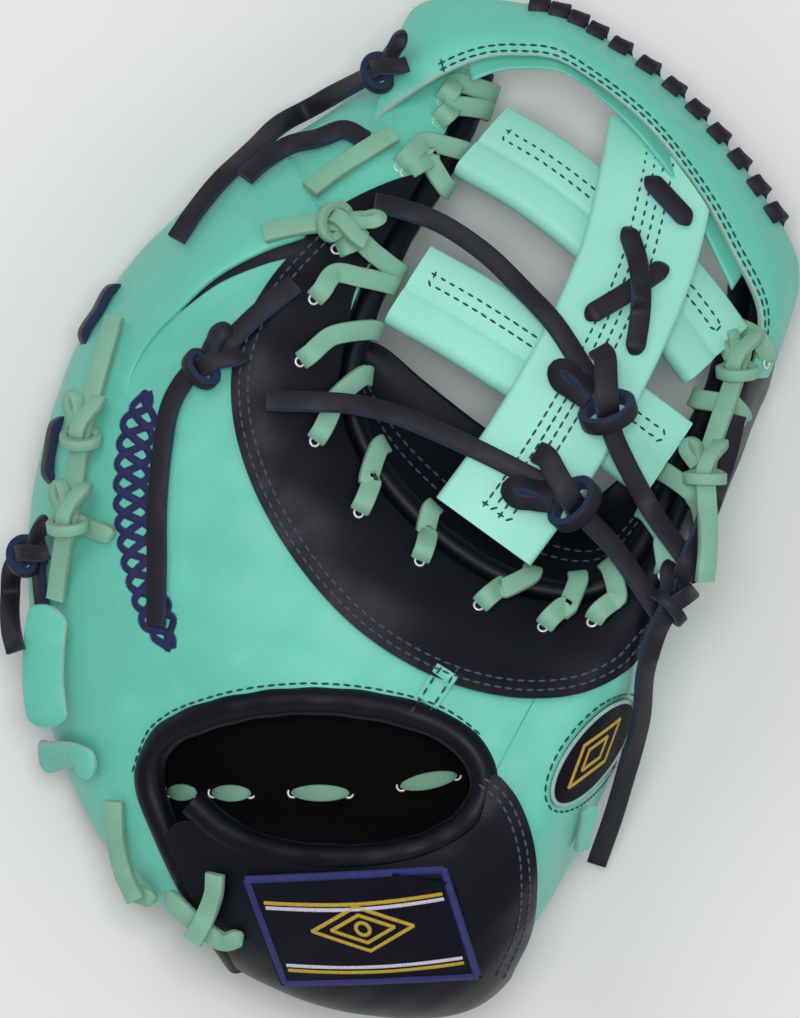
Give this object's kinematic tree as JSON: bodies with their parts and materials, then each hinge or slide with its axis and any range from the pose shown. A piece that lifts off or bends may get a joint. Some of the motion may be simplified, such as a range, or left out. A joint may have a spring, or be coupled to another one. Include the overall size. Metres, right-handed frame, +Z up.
{
  "type": "first baseman mitt",
  "caption": "Laced leather first baseman mitt with a post-and-bar web, for catching a ball, lying pocket down.",
  "frame": {"origin": "on the surface the mitt rests on, under the middle of its bounding box without the free laces", "axes": "+X toward the thumb side, +Y from the heel to the web's top edge, +Z up, out of the back of the hand"},
  "size_m": [0.2576, 0.3302, 0.1104],
  "materials": {
    "mint_leather": "smooth, soft sheen",
    "navy_leather": "smooth, soft sheen",
    "patch_cloth": "embroidered",
    "hand_lining": "matt",
    "mint_lace": "matt, with a flesh side",
    "navy_lace": "matt, with a flesh side"
  },
  "bodies": {
    "root": {"finger_back": "mint_leather", "thumb_back": "mint_leather", "palm": "mint_leather", "web_post": "mint_leather", "web_upper_bar": "mint_leather", "web_lower_bar": "mint_leather", "web_flap": "mint_leather", "web_fold": "mint_leather", "pinkie_tab": "mint_leather", "pinkie_loop": "mint_leather", "thumb_tab": "mint_leather", "crescent": "navy_leather", "crotch_binding": "navy_leather", "wrist_binding": "navy_leather", "wrist_strap": "navy_leather", "strap_patch": "patch_cloth", "thumb_badge": "patch_cloth", "palm_lining": "hand_lining", "crotch_lace": "mint_lace", "lining_lace": "mint_lace", "web_knot": "mint_lace", "web_tail": "mint_lace", "finger_tail": "mint_lace", "left_tail": "mint_lace", "left_knot": "mint_lace", "left_lace": "mint_lace", "left_end_knot": "mint_lace", "left_end": "mint_lace", "heel_lace": "mint_lace", "heel_side_lace": "mint_lace", "right_knot": "mint_lace", "right_lace": "mint_lace", "right_end_knot": "mint_lace", "right_tail": "mint_lace", "web_edge_lace": "navy_lace", "rim_lace": "navy_lace", "post_stitch": "navy_lace", "cross_under": "navy_lace", "cross_over": "navy_lace", "upper_lace": "navy_lace", "upper_knot": "navy_lace", "upper_tail": "navy_lace", "lower_lace": "navy_lace", "lower_knot": "navy_lace", "lower_tail": "navy_lace", "side_lace": "navy_lace", "side_knot": "navy_lace", "side_tail": "navy_lace", "top_knot": "navy_lace", "top_tail": "navy_lace", "top_strand": "navy_lace", "thumb_lace": "navy_lace", "thumb_knot": "navy_lace", "thumb_tail": "navy_lace", "rim_knot": "navy_lace", "rim_tail": "navy_lace"}
  },
  "joints": []
}
